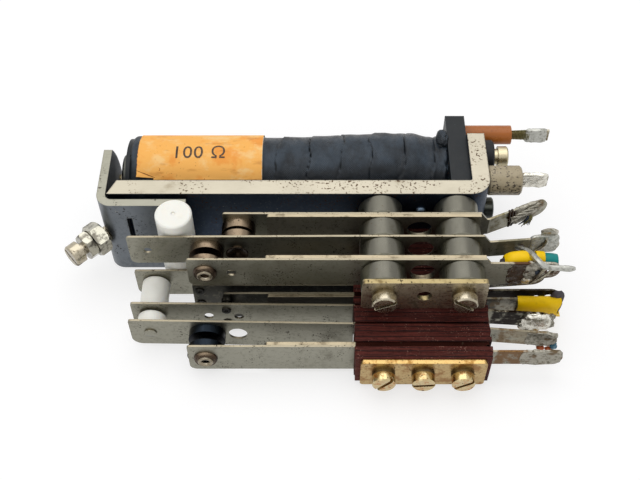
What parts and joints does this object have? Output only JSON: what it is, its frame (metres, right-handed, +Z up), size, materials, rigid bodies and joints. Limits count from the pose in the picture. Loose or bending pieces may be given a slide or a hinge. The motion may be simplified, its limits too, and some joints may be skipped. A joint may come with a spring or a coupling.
{
  "type": "electronic relay",
  "caption": "Flat relay with a taped coil on an L-shaped yoke, a knife-edge armature and two piles of contact springs worked by a nylon rod.",
  "frame": {"origin": "under the middle of the whole part, on the surface it lies on", "axes": "+X from the armature to the soldering tags, +Y from the contact springs to the coil, +Z up with the relay lying on its yoke's edge"},
  "size_m": [0.1142, 0.0644, 0.026],
  "materials": {
    "plated_steel": "dull plated strip with rust specks",
    "soft_iron": "turned, dull",
    "cheek_black": "moulded, satin",
    "copper_wire": "enamelled wire",
    "cloth_tape": "black cloth tape, wrinkled",
    "paper_label": "orange paper, worn",
    "washer_black": "dull black",
    "post_cream": "plated, yellowed",
    "nut_steel": "plated, worn",
    "tinned_brass": "tinned",
    "sleeve_amber": "amber tube",
    "bush_grey": "speckled grey",
    "screw_dark": "blackened",
    "screw_steel": "plated, worn",
    "spacer_grey": "turned insulator, satin",
    "laminate_tube": "laminated tube",
    "plate_nickel": "plated, worn",
    "plate_brass": "aged brass",
    "screw_brass": "brass, slotted",
    "washer_steel": "dull",
    "nickel_silver": "nickel silver strip, tarnished",
    "stiffener_steel": "nickel silver strip",
    "contact_copper": "dark copper",
    "contact_silver": "tarnished silver",
    "contact_black": "blackened",
    "laminate": "red-brown paper laminate",
    "sleeve_yellow": "plastic sleeving",
    "tinned_wire": "tinned wire",
    "solder": "bright solder",
    "armature_iron": "blue-grey plated iron, specked",
    "nylon": "white nylon"
  },
  "bodies": {
    "frame": {"yoke": "plated_steel", "core": "soft_iron", "front_cheek": "cheek_black", "rear_cheek": "cheek_black", "winding": "copper_wire", "coil_tape": "cloth_tape", "resistance_label": "paper_label", "heel_washer": "washer_black", "heel_post": "post_cream", "coil_tags": "tinned_brass", "coil_tag_sleeve": "sleeve_amber", "coil_tag_bush": "bush_grey", "heel_screw": "screw_dark", "retaining_screw": "screw_steel", "retaining_nut": "nut_steel", "retaining_lock_nut": "nut_steel", "spacers": "spacer_grey", "screw_tubes": "laminate_tube", "clamp_plate_a": "plate_nickel", "screws_a": "screw_steel", "lock_washers": "washer_steel", "spring_a1": "nickel_silver", "contact_a1": "contact_copper", "stiffener_a1": "stiffener_steel", "tag_a2": "nickel_silver", "spring_a3": "nickel_silver", "contact_a3": "contact_copper", "stiffener_a3": "stiffener_steel", "laminate_sheets": "laminate", "clamp_plate_b": "plate_brass", "screws_b": "screw_brass", "tag_b1": "nickel_silver", "spring_b2": "nickel_silver", "contacts_b2": "contact_silver", "spring_b3": "nickel_silver", "contacts_b3": "contact_silver", "stiffener_b3": "stiffener_steel", "tag_b4": "nickel_silver", "tag_b5": "nickel_silver", "spring_b6": "nickel_silver", "contact_b6": "contact_black", "stiffener_b6": "stiffener_steel", "wire_sleeves": "sleeve_yellow", "wire_ends": "tinned_wire", "solder": "solder"},
    "armature": {"armature": "armature_iron", "actuator_rod": "nylon", "rod_rivets": "washer_steel", "residual_stud": "screw_brass"},
    "blade_a2": {"spring_a2": "nickel_silver", "contacts_a2": "contact_copper"},
    "blade_b1": {"spring_b1": "nickel_silver", "contacts_b1": "contact_silver"},
    "blade_b4": {"spring_b4": "nickel_silver", "contacts_b4": "contact_silver", "stud_b4": "nylon"},
    "blade_b5": {"spring_b5": "nickel_silver", "contact_b5": "contact_black", "stud_b5": "nylon"}
  },
  "joints": [
    {"name": "armature_hinge", "type": "hinge", "parent": "frame", "child": "armature", "pos_m": [-0.0465, 0.00683, 0.012], "axis": [0, 0, -1], "range_deg": [0, 3.8], "stiffness_Nm_per_rad": 0.1, "springref_deg": -2.86},
    {"name": "spring_a2_flex", "type": "hinge", "parent": "frame", "child": "blade_a2", "pos_m": [0.0104, -0.00473, 0.0189], "axis": [0, 0, 1], "range_deg": [0, 1.48]},
    {"name": "spring_b1_flex", "type": "hinge", "parent": "frame", "child": "blade_b1", "pos_m": [0.0091, -0.00473, 0.0062], "axis": [0, 0, 1], "range_deg": [0, 1.53]},
    {"name": "spring_b4_flex", "type": "hinge", "parent": "frame", "child": "blade_b4", "pos_m": [0.0091, -0.01443, 0.0062], "axis": [0, 0, 1], "range_deg": [0, 1.53]},
    {"name": "spring_b5_flex", "type": "hinge", "parent": "frame", "child": "blade_b5", "pos_m": [0.0091, -0.01922, 0.0062], "axis": [0, 0, 1], "range_deg": [0, 1.53]}
  ],
  "couplings": [
    {"joint": "spring_a2_flex", "follows": "armature_hinge", "ratio": 0.3878},
    {"joint": "spring_b1_flex", "follows": "armature_hinge", "ratio": 0.4005},
    {"joint": "spring_b4_flex", "follows": "armature_hinge", "ratio": 0.4005},
    {"joint": "spring_b5_flex", "follows": "armature_hinge", "ratio": 0.4005}
  ]
}
